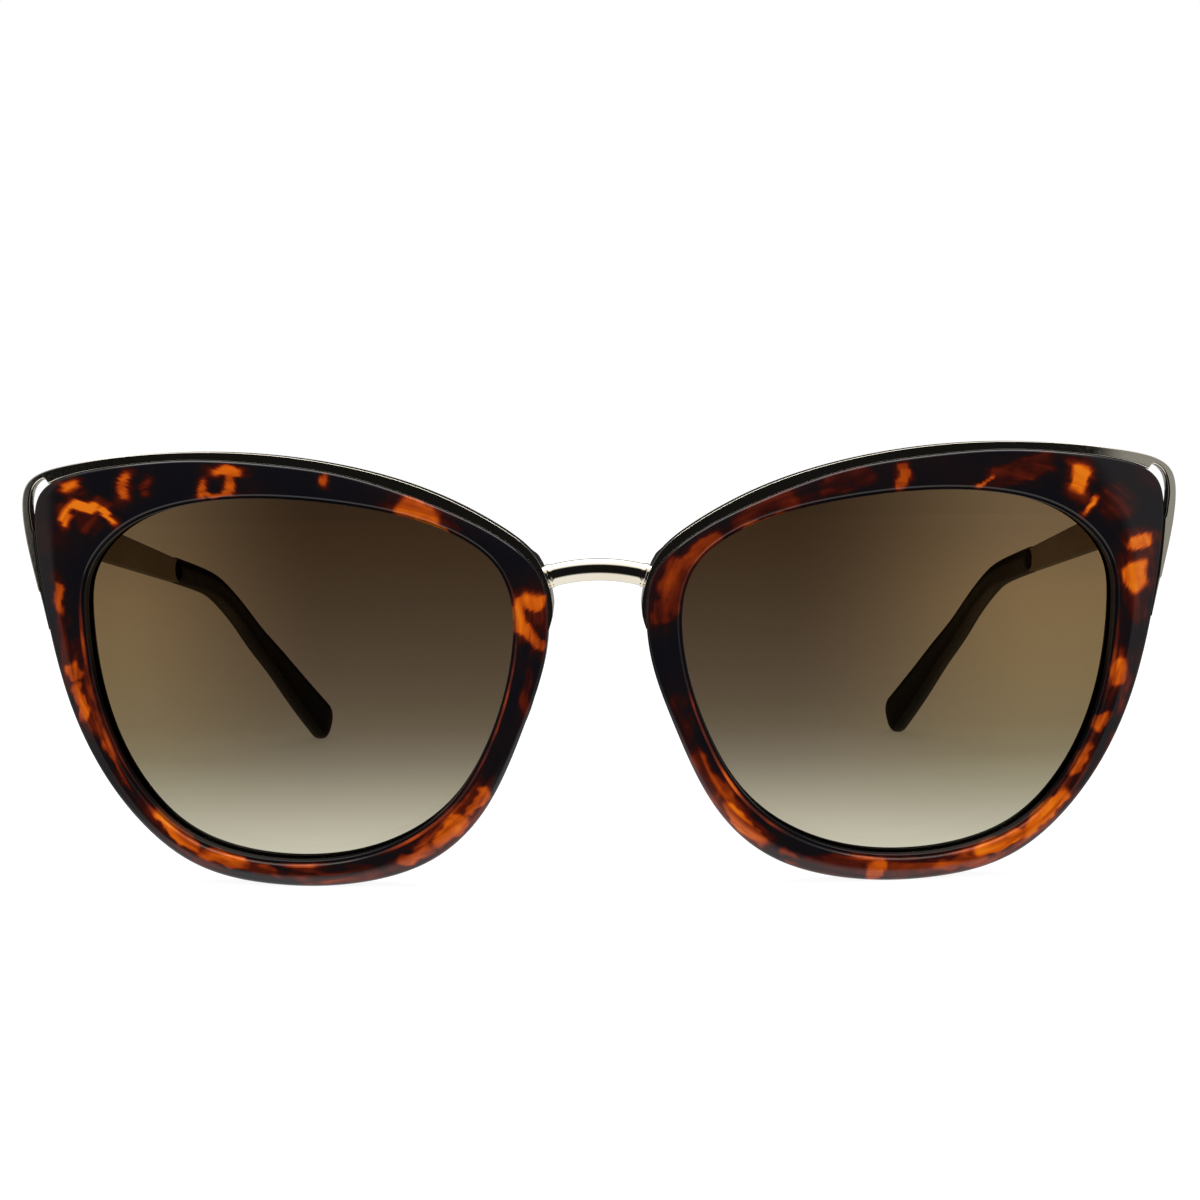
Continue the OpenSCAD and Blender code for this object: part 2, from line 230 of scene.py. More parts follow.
# ---------------------------------------------------------------- materials
class Nodes:
    """Short names for building a node material."""

    def __init__(self, tree):
        self.tree = tree

    def add(self, kind, inputs=None, **settings):
        node = self.tree.nodes.new(kind)
        for key, value in settings.items():
            setattr(node, key, value)
        for key, value in (inputs or {}).items():
            socket = node.inputs[key]
            if isinstance(value, bpy.types.NodeSocket):
                self.tree.links.new(value, socket)
            else:
                socket.default_value = value
        return node

    def math(self, operation, a, b=0.5, clamp=False):
        node = self.add("ShaderNodeMath", {0: a, 1: b}, operation=operation)
        node.use_clamp = clamp
        return node.outputs[0]

    def ramp(self, factor, stops):
        node = self.add("ShaderNodeValToRGB", {"Fac": factor})
        parts = node.color_ramp.elements
        while len(parts) > 1:
            parts.remove(parts[-1])
        parts[0].position = stops[0][0]
        parts[0].color = (*stops[0][1], 1)
        for position, color in stops[1:]:
            part = parts.new(position)
            part.color = (*color, 1)
        return node.outputs["Color"]

    def rise(self, value, a, b, low=0.0, high=1.0):
        node = self.add("ShaderNodeMapRange", {"Value": value, "From Min": a, "From Max": b,
                                               "To Min": low, "To Max": high},
                        interpolation_type="SMOOTHSTEP")
        return node.outputs[0]

    def noise(self, vector, scale, detail=2.0, rough=0.5, distortion=0.0):
        node = self.add("ShaderNodeTexNoise", {"Vector": vector, "Scale": scale,
                                               "Detail": detail, "Roughness": rough,
                                               "Distortion": distortion})
        return node.outputs["Fac"]


def material(name):
    mat = bpy.data.materials.new(name)
    mat.use_nodes = True
    mat.node_tree.nodes.clear()
    return mat, Nodes(mat.node_tree)


def finish(n, shader):
    n.add("ShaderNodeOutputMaterial", {"Surface": shader})


def metal(name, dull, bright, rough_low, rough_high, grain):
    """Plated metal whose colour drifts a little, with a fine grain in the polish."""
    mat, n = material(name)
    where = n.add("ShaderNodeTexCoord").outputs["Object"]
    cloud = n.noise(where, 90.0, 3.0)
    fine = n.noise(where, grain, 2.0)
    color = n.ramp(cloud, [(0.3, dull), (0.7, bright)])
    rough = n.rise(fine, 0.3, 0.7, rough_low, rough_high)
    bump = n.add("ShaderNodeBump", {"Height": fine, "Strength": 0.02, "Distance": 0.00002})
    shader = n.add("ShaderNodeBsdfPrincipled", {"Base Color": color, "Metallic": 1.0,
                                                "Roughness": rough,
                                                "Normal": bump.outputs[0]})
    finish(n, shader.outputs[0])
    return mat


def tortoise(name, base_gain, rough_low, rough_high, amber_attribute, gloss=0.5):
    """Mottled acetate, near black to amber. The rims carry the patches as point attributes, with a
    painted light along the lower inner edge mixed into the amber and a painted shade on the wall
    round the lens.
    """
    mat, n = material(name)
    where = n.add("ShaderNodeTexCoord").outputs["Object"]
    wobble = n.noise(where, 420.0, 4.0, 0.6, 0.4)
    swirl = n.noise(where, 150.0, 2.0, 0.5, 1.2)
    cloud = n.noise(where, 60.0, 2.0, 0.5, 0.6)
    halo = n.rise(cloud, 0.45, 0.75, 0.0, 0.24 * base_gain)
    # On the rims the amber attribute also carries a painted light along the lower inner edge.
    if amber_attribute:
        amber = n.add("ShaderNodeAttribute", attribute_name="amber").outputs["Fac"]
    else:
        amber = n.rise(swirl, 0.5, 0.75, 0.0, 0.4 * base_gain)
    shift = n.math("MULTIPLY", n.math("SUBTRACT", wobble, 0.5), 0.20)
    slow = n.math("MULTIPLY", n.math("SUBTRACT", swirl, 0.5), 0.30)
    moved = n.math("ADD", shift, slow)
    if amber_attribute:
        flow = n.add("ShaderNodeAttribute", attribute_name="flow").outputs["Vector"]
        streak = n.math("SUBTRACT", n.noise(flow, 0.8, 2.0, 0.5, 0.6), 0.5)
        height = n.add("ShaderNodeSeparateXYZ", {"Vector": where}).outputs[2]
        gain = n.rise(height, 0.026, 0.040, 1.15, 0.60)
        moved = n.math("ADD", moved, n.math("MULTIPLY", streak, gain))
    moved = n.math("MULTIPLY", moved, n.rise(amber, 0.0, 0.3, 0.25, 1.0))
    level = n.math("ADD", n.math("MAXIMUM", amber, halo), moved, True)
    color = n.ramp(level, [(0.0, (0.0060, 0.0058, 0.0085)), (0.14, (0.010, 0.0062, 0.0070)),
                           (0.28, (0.034, 0.0055, 0.0042)), (0.44, (0.105, 0.012, 0.0045)),
                           (0.60, (0.29, 0.036, 0.0050)), (0.76, (0.56, 0.085, 0.0055)),
                           (0.88, (0.80, 0.145, 0.0060)), (1.0, (0.95, 0.230, 0.0100))])
    # Painted shade: the wall attribute turns the wall and groove round the lens near black.
    if amber_attribute:
        wall = n.add("ShaderNodeAttribute", attribute_name="wall").outputs["Fac"]
        painted_wall_shade = n.add("ShaderNodeMix", {0: wall, 6: color, 7: (0.007, 0.006, 0.008, 1)},
                     data_type="RGBA")
        color = painted_wall_shade.outputs[2]
    rough = n.rise(wobble, 0.3, 0.7, rough_low, rough_high)
    if amber_attribute:
        rough = n.math("ADD", rough, n.math("MULTIPLY", wall, 0.10))
    bump = n.add("ShaderNodeBump", {"Height": cloud, "Strength": 0.05, "Distance": 0.0001})
    shader = n.add("ShaderNodeBsdfPrincipled", {"Base Color": color, "Roughness": rough,
                                                "Specular IOR Level": gloss,
                                                "Normal": bump.outputs[0]})
    finish(n, shader.outputs[0])
    return mat


def lens_material(name):
    """A tint from brown at the top to pale beige, lighter towards the temples, under a gloss.
    A ray passes two faces, so each face has the root of the tint."""
    mat, n = material(name)
    where = n.add("ShaderNodeTexCoord").outputs["Object"]
    split = n.add("ShaderNodeSeparateXYZ", {"Vector": where})
    up = n.math("DIVIDE", split.outputs[2], 0.050)
    grain = n.noise(where, 25.0, 2.0)
    up = n.math("ADD", up, n.math("MULTIPLY", n.math("SUBTRACT", grain, 0.5), 0.02))
    inner = [(0.0, (0.55, 0.52, 0.42)), (0.08, (0.50, 0.48, 0.38)), (0.16, (0.39, 0.365, 0.278)),
             (0.24, (0.268, 0.245, 0.180)), (0.32, (0.168, 0.141, 0.100)),
             (0.40, (0.110, 0.086, 0.055)), (0.46, (0.088, 0.065, 0.040)),
             (0.56, (0.072, 0.049, 0.030)), (0.72, (0.052, 0.033, 0.0185)),
             (0.88, (0.040, 0.0225, 0.0110)), (0.96, (0.034, 0.019, 0.0095))]
    outer = [(0.0, (0.55, 0.52, 0.42)), (0.08, (0.50, 0.48, 0.37)), (0.16, (0.37, 0.345, 0.26)),
             (0.24, (0.27, 0.245, 0.165)), (0.32, (0.195, 0.162, 0.094)),
             (0.40, (0.180, 0.134, 0.070)), (0.56, (0.185, 0.128, 0.060)),
             (0.72, (0.188, 0.122, 0.056)), (0.88, (0.160, 0.104, 0.052))]
    near = n.ramp(up, [(p, [math.sqrt(v) for v in c]) for p, c in inner])
    far = n.ramp(up, [(p, [math.sqrt(v) for v in c]) for p, c in outer])
    left = n.rise(split.outputs[0], 0.022, 0.056, 0.0, 0.96)
    right = n.rise(split.outputs[0], -0.033, -0.061, 0.0, 0.80)
    blend = n.math("MAXIMUM", left, right)
    tint = n.add("ShaderNodeMix", {0: blend, 6: near, 7: far}, data_type="RGBA").outputs[2]
    clear = n.add("ShaderNodeBsdfTransparent", {"Color": tint})
    gloss = n.add("ShaderNodeBsdfGlossy", {"Color": (1, 1, 1, 1), "Roughness": 0.02})
    front_face = n.math("SUBTRACT", 1.0, n.add("ShaderNodeNewGeometry").outputs["Backfacing"])
    shine = n.add("ShaderNodeFresnel", {"IOR": 1.5}).outputs[0]
    mix = n.add("ShaderNodeMixShader", {0: n.math("MULTIPLY", shine, front_face),
                                        1: clear.outputs[0], 2: gloss.outputs[0]})
    finish(n, mix.outputs[0])
    return mat


GOLD = metal("polished_gold", (0.78, 0.71, 0.56), (0.86, 0.80, 0.68), 0.05, 0.10, 2500.0)
ARM_GOLD = metal("arm_gold", (0.57, 0.42, 0.27), (0.69, 0.53, 0.36), 0.06, 0.12, 2500.0)
HINGE_METAL = metal("hinge_metal", (0.70, 0.64, 0.50), (0.80, 0.74, 0.62), 0.22, 0.34, 3000.0)
STEEL = metal("screw_steel", (0.66, 0.62, 0.54), (0.76, 0.72, 0.64), 0.14, 0.24, 3000.0)
TORTOISE = tortoise("tortoise", 1.0, 0.03, 0.07, True)
PAD = tortoise("tortoise_pad", 1.3, 0.16, 0.26, False)
TIP = tortoise("dark_tip", 0.6, 0.22, 0.32, False, 0.22)
SMOKE = lens_material("smoke_lens")

# ---------------------------------------------------------------- amber in the rims
# Given as: x, z, half length, half width, turn in degrees, strength. The two rims are cut
# from one mottled sheet, so their patches differ.
LEFT_AMBER = [
    (9.4, 38.4, 3.4, 2.0, 65, 0.54), (8.3, 34.9, 2.0, 2.2, 0, 0.50),
    (12.8, 42.0, 3.4, 1.3, 42, 0.52), (20.2, 45.0, 3.4, 0.8, 22, 0.78),
    (20.5, 46.6, 5.0, 2.2, 25, 0.40), (37.2, 50.3, 0.9, 2.1, -8, 0.62),
    (47.6, 49.5, 1.3, 0.4, 30, 0.80), (51.8, 50.6, 5.6, 1.7, 18, 0.30),
    (59.6, 49.7, 1.3, 2.0, -4, 1.0), (61.0, 46.3, 1.3, 0.5, 50, 0.92),
    (64.6, 46.6, 3.0, 2.4, -30, 0.27), (67.7, 41.6, 1.9, 1.2, -6, 0.96),
    (67.0, 37.4, 1.9, 2.2, 6, 1.0), (67.4, 33.6, 1.6, 2.6, 0, 0.36),
    (65.0, 25.2, 1.3, 2.2, -18, 0.72), (64.2, 22.0, 2.0, 6.0, -18, 0.34),
    (62.9, 19.2, 1.8, 1.0, 45, 0.84), (60.2, 14.4, 2.8, 0.9, 50, 0.70),
    (55.8, 7.8, 4.6, 1.2, 44, 0.92), (54.6, 7.6, 7.0, 2.6, 42, 0.46),
    (50.0, 4.1, 4.2, 1.2, 22, 0.84), (45.0, 1.9, 4.2, 1.0, 8, 0.62),
    (46.0, 2.6, 8.0, 2.4, 10, 0.42), (34.2, 1.4, 1.5, 1.5, 0, 0.74),
    (36.0, 1.8, 5.0, 2.0, 0, 0.36), (23.4, 3.6, 1.6, 1.0, -35, 0.52),
    (17.6, 7.9, 4.4, 1.1, -46, 0.80), (17.0, 8.6, 7.0, 2.2, -48, 0.42),
    (13.0, 14.0, 4.4, 1.4, -62, 0.52), (10.2, 21.0, 1.5, 4.0, 12, 0.26),
    (29.0, 2.0, 8.0, 2.0, 4, 0.36), (62.0, 15.6, 2.0, 5.0, -28, 0.36),
    (30.5, 50.0, 4.0, 1.6, 12, 0.30)]
RIGHT_AMBER = [
    (65.5, 50.2, 1.5, 0.8, 0, 0.90), (58.5, 50.2, 0.9, 1.9, 12, 0.80),
    (55.6, 50.2, 0.8, 1.6, 10, 0.34), (66.3, 46.5, 1.3, 0.7, 115, 1.0),
    (64.0, 47.7, 2.5, 0.7, 0, 1.1), (60.7, 46.7, 1.5, 0.6, 45, 1.1),
    (63.4, 45.9, 2.2, 1.6, 0, 0.34), (45.4, 52.0, 2.2, 0.7, 4, 0.76),
    (48.3, 49.9, 0.6, 1.6, 20, 0.76), (46.5, 49.2, 2.2, 0.4, -3, 0.74),
    (44.8, 50.7, 0.8, 1.7, -8, 0.72), (33.0, 51.0, 0.5, 1.0, -24, 0.60),
    (21.6, 46.8, 3.4, 1.9, 28, 0.78), (19.8, 45.0, 3.0, 0.6, 28, 0.96),
    (7.9, 35.9, 2.4, 1.1, 0, 0.76), (9.6, 34.0, 0.9, 2.2, 0, 0.80),
    (8.0, 31.8, 2.4, 1.0, 45, 0.80), (7.2, 34.0, 2.6, 3.4, 0, 0.34),
    (67.7, 36.3, 0.8, 2.4, -4, 0.72), (67.6, 33.0, 1.4, 6.0, -6, 0.30),
    (66.2, 27.0, 1.3, 1.4, -12, 0.74), (65.4, 23.0, 0.9, 3.2, -12, 0.78),
    (65.0, 24.0, 2.0, 6.0, -12, 0.36), (53.6, 6.8, 4.4, 1.2, 43, 0.92),
    (47.6, 3.2, 4.4, 1.0, 16, 0.78), (42.6, 2.0, 2.6, 0.8, 6, 0.52),
    (52.0, 6.4, 8.0, 2.4, 40, 0.42), (14.9, 11.3, 2.8, 0.8, -56, 0.84),
    (18.4, 7.5, 3.4, 1.3, -45, 0.80), (23.0, 4.3, 3.2, 1.0, -25, 0.66),
    (18.0, 8.0, 7.0, 2.4, -45, 0.42), (60.2, 16.0, 1.8, 8.0, -28, 0.40),
    (33.0, 1.6, 7.0, 1.8, 0, 0.34), (8.8, 26.0, 0.8, 5.0, 6, 0.30)]


def amber_field(x, z, w, patches):
    """How amber each point is: the strongest of the patches, with a ragged edge and a halo."""
    field = np.zeros_like(x)
    sway_x = 0.22 * np.sin(1.7 * z + 0.9) + 0.12 * np.sin(3.9 * x + 2.1 * z)
    sway_z = 0.20 * np.sin(1.9 * x + 0.4) + 0.12 * np.sin(4.3 * z - 1.3 * x)
    for px, pz, a, b, turn, strength in patches:
        t = math.radians(turn)
        dx = x - px - 0.12 * w + sway_x
        dz = z - pz + 0.10 * w + sway_z
        u = np.abs(dx * math.cos(t) + dz * math.sin(t)) / a
        v = np.abs(-dx * math.sin(t) + dz * math.cos(t)) / b
        d = (u ** 3 + v ** 3) ** (1 / 3)
        core = strength * (1 - step(0.66, 1.18, d))
        halo = 0.42 * strength * (1 - step(0.8, 2.3, d))
        field = np.maximum(field, np.maximum(core, halo))
    return field


# ---------------------------------------------------------------- rims
rim_curve = even(smooth_curve(RIM, 24, True), 520, True)
rim_out = outward(rim_curve, True)
open_curve = even(smooth_curve(OPENING, 24, True), 1600, True)
open_out = outward(open_curve, True)
MIDDLE = np.array([38.0, 28.0])

# Rings of points across the rim, in the order of rim_grid(): the outer round, the front, the
# inner round, the lip with the groove, and the round into the back.
OUTER_RINGS = 8
FRONT_RINGS = 12
INNER_RINGS = 7
GROOVE_RINGS = 7
BACK_RINGS = 5
INNER_START = OUTER_RINGS + FRONT_RINGS
INNER_EDGE = slice(INNER_START + 1, INNER_START + INNER_RINGS)
LENS_SIDE = slice(INNER_EDGE.stop - 1, INNER_EDGE.stop + GROOVE_RINGS + 3)
DOME = 0.10
INNER_R = 0.42
BACK_INNER_R = 0.3
BACK_OUTER_R = 0.5


def matched(curve, normals, to):
    """The points of curve at the same polar angles about the middle as the points of to."""
    def angle(c):
        return np.unwrap(np.arctan2(c[:, 1] - MIDDLE[1], c[:, 0] - MIDDLE[0]))
    a = -angle(curve)
    b = -angle(to)
    start = np.searchsorted(a, a[0])
    turn = 2 * math.pi
    a3 = np.concatenate([a - turn, a, a + turn])
    c3 = np.vstack([curve, curve, curve])
    n3 = np.vstack([normals, normals, normals])
    b = (b - a[start]) % turn + a[start]
    points = np.stack([np.interp(b, a3, c3[:, k]) for k in (0, 1)], -1)
    out = np.stack([np.interp(b, a3, n3[:, k]) for k in (0, 1)], -1)
    return points, out / np.linalg.norm(out, axis=1)[:, None]


inner_curve, inner_out = matched(open_curve, open_out, rim_curve)


def rim_grid():
    """Rings of points across the rim: beside, up, depth."""
    o, i, no, ni = rim_curve, inner_curve, rim_out, inner_out
    wall = i - ni * LIP
    round_o = 0.40 + 0.25 * step(34, 26, o[:, 1])
    ring = []

    def add(p, w):
        ring.append(np.column_stack([p, sag(p[:, 0], p[:, 1], w)]))

    def add_y(p, y):
        ring.append(np.column_stack([p, y]))

    for a in np.radians(np.linspace(0, 90, OUTER_RINGS)):
        add(o - no * (round_o * (1 - math.cos(a)))[:, None], round_o * (1 - math.sin(a)) + DOME)
    start = o - no * round_o[:, None]
    stop = i + ni * INNER_R
    for t in np.linspace(0, 1, FRONT_RINGS + 2)[1:-1]:
        add(start + (stop - start) * t, DOME * (2 * t - 1) ** 2)
    for a in np.radians(np.linspace(0, 90, INNER_RINGS)):
        add(i + ni * (INNER_R * (1 - math.sin(a))), DOME + INNER_R * (1 - math.cos(a)))
    add(i, 0.88)
    add(wall + ni * 0.07, 0.90)
    add(wall, 0.97)
    deep = wall + ni * 1.0
    front = LENS_R + 0.05
    back = LENS_R - LENS_T - 0.05
    add_y(wall, lens_y(wall[:, 0], wall[:, 1], front))
    add_y(deep, lens_y(deep[:, 0], deep[:, 1], front))
    add_y(deep, lens_y(deep[:, 0], deep[:, 1], back))
    add_y(wall, lens_y(wall[:, 0], wall[:, 1], back))
    for a in np.radians(np.linspace(0, 90, BACK_RINGS)):
        add(wall + ni * BACK_INNER_R * (1 - math.cos(a)),
            RIM_T - BACK_INNER_R + BACK_INNER_R * math.sin(a))
    start = wall + ni * BACK_INNER_R
    stop = o - no * BACK_OUTER_R
    for t in np.linspace(0, 1, 7)[1:-1]:
        add(start + (stop - start) * t, RIM_T)
    for a in np.radians(np.linspace(0, 90, BACK_RINGS)):
        add(o - no * (BACK_OUTER_R * (1 - math.sin(a))), RIM_T - BACK_OUTER_R * (1 - math.cos(a)))
    for t in np.linspace(0, 1, 6)[1:-1]:
        add(o, (RIM_T - BACK_OUTER_R) * (1 - t) + (0.9 + DOME) * t)
    return np.stack(ring, 1)


def make_rim(side, name, patches):
    """One rim, with the amber, a painted light along the lower inner edge, a painted shade on the
    wall beside the lens and the run of the streaks.
    """
    grid = rim_grid()
    x, z, y = grid[..., 0], grid[..., 1], grid[..., 2]
    obj = skin(name, place(side, x, y, z), True, True, side < 0, 38)
    w = y - sag(x, z)
    # Painted shade: the wall and groove beside the lens darken from 0.5 to 1.2 mm behind the
    # front.
    inward = np.zeros(grid.shape[:2])
    inward[:, LENS_SIDE] = 1
    painted_wall_shade = inward * step(0.5, 1.2, w)
    amber = amber_field(x, z, w, patches)
    # Painted light: an amber line along the inner edge of the lower rim, uneven near the bottom,
    # put into the amber attribute.
    glow = 0.30 + 0.32 * np.sin(0.55 * x + 0.35 * z + side) * step(38, 24, z)
    glow = glow * step(44, 34, z)
    amber[:, INNER_EDGE] = np.maximum(amber[:, INNER_EDGE], glow[:, INNER_EDGE])
    lap = 2 * np.pi * np.arange(len(x))[:, None] / len(x) + 0 * x
    across = np.hypot(x - inner_curve[:, :1], z - inner_curve[:, 1:])
    flow = np.stack([4.3 * np.cos(lap), 4.3 * np.sin(lap), across / 1.1 + 0.3 * w + 5 * side], -1)
    data = obj.data.attributes.new("flow", "FLOAT_VECTOR", "POINT")
    data.data.foreach_set("vector", flow.astype(np.float32).ravel())
    for key, value in (("amber", amber), ("wall", painted_wall_shade)):
        data = obj.data.attributes.new(key, "FLOAT", "POINT")
        data.data.foreach_set("value", value.astype(np.float32).ravel())
    return obj


# ---------------------------------------------------------------- metal trim
def reach(origin, direction, curve, closed):
    """How far each ray goes before it meets the curve."""
    a = curve
    b = np.roll(curve, -1, 0)
    if not closed:
        a, b = curve[:-1], curve[1:]
    e = b - a
    best = np.full(len(origin), 1e9)
    for k, (p, d) in enumerate(zip(origin, direction)):
        cross = d[0] * e[:, 1] - d[1] * e[:, 0]
        cross = np.where(np.abs(cross) < 1e-9, 1e-9, cross)
        q = a - p
        t = (q[:, 0] * e[:, 1] - q[:, 1] * e[:, 0]) / cross
        s = (q[:, 0] * d[1] - q[:, 1] * d[0]) / cross
        hit = (s >= 0) & (s <= 1) & (t > 0.02)
        if hit.any():
            best[k] = t[hit].min()
    return best


trim_curve = even(smooth_curve(TRIM, 24, False), 520, False)
trim_out = outward(trim_curve, False)
slot_curve = smooth_curve(SLOT, 12, True)
to_rim = reach(trim_curve, -trim_out, smooth_curve(RIM, 24, True), True)
to_slot = reach(trim_curve, -trim_out, slot_curve, True)
# The band starts behind the front of the rim, is deep along the brow and shallow down the leg,
# and runs back to the lugs where it meets them. Its leg is thinner below a shallow seam.
TRIM_FRONT = 0.3
BROW_DEPTH = 2.9
LEG_DEPTH = 1.6
SEAM_Z = 36.95


def trim_grid():
    """Rings of points across the metal band: a flat front, broken edges and a softer inner one
    where the band turns down into the corner."""
    p, n = trim_curve, trim_out
    x, z = p[:, 0], p[:, 1]
    leg = (x > 60) * 1.0
    nose = (x < 20) * 1.0
    thick = np.clip(np.minimum(to_rim, to_slot), 0.16, 1.6)
    depth = BROW_DEPTH + (LEG_DEPTH - BROW_DEPTH) * step(63, 66, x)
    corner_lug = step(36.6, 37.4, z) * step(43.8, 43.0, z) * leg
    nose_lug = step(34.4, 35.2, z) * step(42.2, 41.0, z) * nose
    full = RIM_T + LUG_T - TRIM_FRONT
    depth = depth + (full - depth) * np.maximum(corner_lug, nose_lug)
    off = 0.14 * step(SEAM_Z, SEAM_Z - 0.2, z) * leg
    off = off + 0.12 * np.exp(-((z - SEAM_Z) / 0.12) ** 2) * leg
    thick = thick - off
    r = np.minimum(0.05 + 0.06 * step(60, 64, x), 0.42 * thick)
    ring = []

    def add(u, w):
        q = p - n * (u + off)[:, None]
        ring.append(np.column_stack([q, sag(q[:, 0], q[:, 1], w)]))

    turns = np.radians(np.linspace(0, 90, 6))
    low, high = TRIM_FRONT, TRIM_FRONT + depth
    for a in turns:
        add(r * (1 - math.cos(a)), low + r * (1 - math.sin(a)))
    soft = np.minimum(r + 0.15 * step(66, 69, x), 0.5 * thick)
    support = np.minimum(0.05, 0.3 * (thick - r - soft))
    add(r + support, low)
    add(thick - soft - support, low)
    for a in turns:
        add(thick - soft * (1 - math.sin(a)), low + soft * (1 - math.cos(a)))
    for t in (0.33, 0.67):
        add(thick, low + r + (high - low - 2 * r) * t)
    for a in turns:
        add(thick - r * (1 - math.cos(a)), high - r * (1 - math.sin(a)))
    for a in turns:
        add(r * (1 - math.sin(a)), high - r * (1 - math.cos(a)))
    for t in (0.67, 0.33):
        add(0 * thick, low + r + (high - low - 2 * r) * t)
    return np.stack(ring, 1)


def plate(side, name, outline, w0, w1, corner, edge):
    """A flat lug behind the rim, with rounded corners and broken edges."""
    p = np.array(outline, float)
    points = []
    for k in range(len(p)):
        a, b, c = p[k - 1], p[k], p[(k + 1) % len(p)]
        e, f = (a - b) / np.linalg.norm(a - b), (c - b) / np.linalg.norm(c - b)
        turn = math.pi - math.acos(max(-1, min(1, float(e @ f))))
        cut = min(corner, 0.4 * np.linalg.norm(a - b), 0.4 * np.linalg.norm(c - b))
        if turn < 0.6:
            points.append(b)
            continue
        start, end = b + e * cut, b + f * cut
        for t in np.linspace(0, 1, 7):
            points.append((1 - t) ** 2 * start + 2 * t * (1 - t) * b + t * t * end)
    q = np.array(points)
    n = len(q)
    verts = np.vstack([place(side, q[:, 0], sag(q[:, 0], q[:, 1], w), q[:, 1]) for w in (w0, w1)])
    faces = [tuple(range(n)), tuple(reversed(range(n, 2 * n)))]
    faces += [(k, n + k, n + (k + 1) % n, (k + 1) % n) for k in range(n)]
    mesh = bpy.data.meshes.new(name)
    mesh.from_pydata([tuple(v) for v in verts], [], faces)
    bm = bmesh.new()
    bm.from_mesh(mesh)
    bmesh.ops.recalc_face_normals(bm, faces=bm.faces)
    break_edges(bm, 60, edge)
    bm.to_mesh(mesh)
    bm.free()
    return solid_metal(name, mesh)


# ---------------------------------------------------------------- lenses
def make_lens(side, name):
    """Two spherical faces, from the middle out to the edge in the groove and back."""
    wall = inner_curve[::2] - inner_out[::2] * LIP
    edge = wall + inner_out[::2] * 0.9
    rings = []
    for f in np.linspace(0.02, 1, 22):
        p = MIDDLE + (edge - MIDDLE) * f
        rings.append(np.column_stack([p[:, 0], lens_y(p[:, 0], p[:, 1], LENS_R), p[:, 1]]))
    for f in np.linspace(1, 0.02, 22):
        p = MIDDLE + (edge - MIDDLE) * f
        y = lens_y(p[:, 0], p[:, 1], LENS_R - LENS_T)
        rings.append(np.column_stack([p[:, 0], y, p[:, 1]]))
    grid = np.stack(rings, 0)
    points = place(side, grid[..., 0], grid[..., 1], grid[..., 2])
    return skin(name, points, True, False, side > 0, 40)


# ---------------------------------------------------------------- bridge, pads and tips
def make_bridge():
    """An arched bar with a low collar near each end."""
    bar_r, middle_z, half_width, collar_x = 22.0, 39.6, 6.7, 5.75
    half = math.asin(half_width / bar_r)
    y0 = float(sag(0.0, middle_z)) + 0.3 + 1.45
    rows = []
    for a in np.linspace(-half, half, 97):
        beside = abs(bar_r * math.sin(a))
        collar = 0.16 * math.exp(-((beside - collar_x) / 0.25) ** 2)
        tall = 1.35 + collar
        deep = 1.1 + collar
        row = []
        for k in range(48):
            t = 2 * math.pi * k / 48
            radius = bar_r + tall * math.cos(t)
            row.append((radius * math.sin(a), y0 + deep * math.sin(t),
                        middle_z - bar_r + radius * math.cos(a)))
        rows.append(row)
    g = np.array(rows)
    return skin("bridge_bar", place(1, g[..., 0], g[..., 1], g[..., 2]), True, False, False, 50)


def sweep(points, sides, exponent, steps, caps, first=None, round_start=True, edge=0.0):
    """Rings of points along a line of [x, y, z, half width, half height]. The start is round or
    has its edge broken by that much, and the end is round."""
    line = smooth_curve(points, steps, False)
    c = line[:, :3]
    t = np.gradient(c, axis=0)
    if first is not None:
        t[0] = first
    t = t / np.linalg.norm(t, axis=1)[:, None]
    w = 2 * np.pi * (np.arange(sides) + 0.5) / sides

    def ring(centre, along, a, b):
        side = np.cross(along, [0, 0, 1])
        side = side / np.linalg.norm(side)
        up = np.cross(side, along)
        u = np.sign(np.cos(w)) * np.abs(np.cos(w)) ** exponent
        v = np.sign(np.sin(w)) * np.abs(np.sin(w)) ** exponent
        return centre + a * u[:, None] * side + b * v[:, None] * up

    rows = []
    turns = np.radians(np.linspace(88, 0, caps + 1))[:-1]
    if round_start:
        for a in turns:
            rows.append(ring(c[0] - line[0, 4] * math.sin(a) * t[0], t[0],
                             line[0, 3] * math.cos(a), line[0, 4] * math.cos(a)))
    elif edge:
        for a in np.radians((0, 30, 60)):
            rows.append(ring(c[0] + edge * (1 - math.cos(a)) * t[0], t[0],
                             line[0, 3] - edge * (1 - math.sin(a)),
                             line[0, 4] - edge * (1 - math.sin(a))))
        line[0, :3] = c[0] + edge * t[0]
        c = line[:, :3]
    for k in range(len(line)):
        rows.append(ring(c[k], t[k], line[k, 3], line[k, 4]))
    for a in turns[::-1]:
        rows.append(ring(c[-1] + line[-1, 4] * math.sin(a) * t[-1], t[-1],
                         line[-1, 3] * math.cos(a), line[-1, 4] * math.cos(a)))
    return np.array(rows)


PAD_BALLS = [[8.5, 5.2, 31, 1.5], [9.9, 6.2, 23.5, 1.85], [12.6, 5.2, 17, 1.5]]
TIP_POINTS = [[67.3, 61.7, 37.9, 1.3, 2], [66.6, 77, 35.5, 1.5, 1.95], [66.1, 87, 33, 1.6, 1.9],
              [65.4, 99, 28.2, 1.6, 2], [64.5, 109, 23.1, 1.65, 2.3], [63, 118.6, 17.9, 1.7, 2.7],
              [60.9, 129.5, 11.1, 1.8, 3.3], [58.2, 140, 4, 1.8, 3.8]]
SPLAY = math.radians(2.7)


def make_pad(side, name):
    points = [[x, float(sag(x, z)) + w, z, r, r] for x, w, z, r in PAD_BALLS]
    grid = sweep(points, 36, 1.0, 12, 10)
    skin_points = place(side, grid[..., 0], grid[..., 1], grid[..., 2])
    return skin(name, skin_points, True, False, side > 0, 60)


